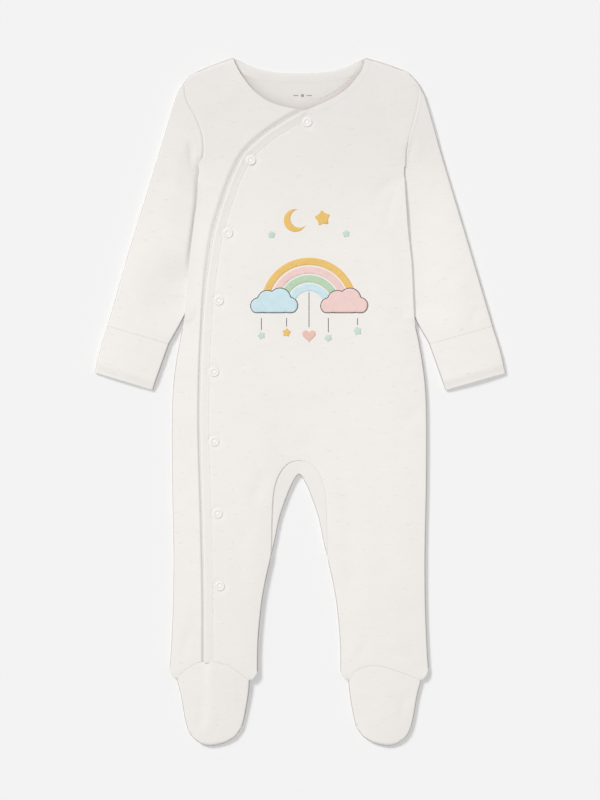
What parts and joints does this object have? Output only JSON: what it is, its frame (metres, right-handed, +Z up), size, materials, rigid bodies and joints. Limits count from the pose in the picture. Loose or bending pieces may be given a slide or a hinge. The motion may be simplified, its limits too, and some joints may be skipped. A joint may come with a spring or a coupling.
{
  "type": "footed baby sleepsuit",
  "caption": "Long-sleeved footed baby sleepsuit in cotton interlock, laid flat on its back, with a wrapped front that snaps shut down one side from neck to ankle.",
  "frame": {"origin": "middle of the underside of the suit as it lies, on the surface that it lies on", "axes": "+Y from the feet towards the neck, +Z up through the layers from back to front, +X away from the snapped side"},
  "size_m": [0.358, 0.602, 0.0099],
  "materials": {
    "cotton_interlock": "soft matt knit, cream with fine slubs",
    "cotton_binding": "folded knit binding, topstitched",
    "snap_enamel": "pale enamel, low gloss"
  },
  "bodies": {
    "root": {"back": "cotton_interlock", "front_main": "cotton_interlock", "front_under": "cotton_interlock", "gusset": "cotton_interlock", "sleeve_left": "cotton_interlock", "sleeve_right": "cotton_interlock", "cuff_left": "cotton_interlock", "cuff_right": "cotton_interlock", "foot_upper_left": "cotton_interlock", "foot_upper_right": "cotton_interlock", "foot_sole_left": "cotton_interlock", "foot_sole_right": "cotton_interlock", "wrap_binding": "cotton_binding", "neck_facing": "cotton_binding", "snap_1": "snap_enamel", "snap_2": "snap_enamel", "snap_3": "snap_enamel", "snap_4": "snap_enamel", "snap_5": "snap_enamel", "snap_6": "snap_enamel", "snap_7": "snap_enamel", "snap_8": "snap_enamel"}
  },
  "joints": []
}
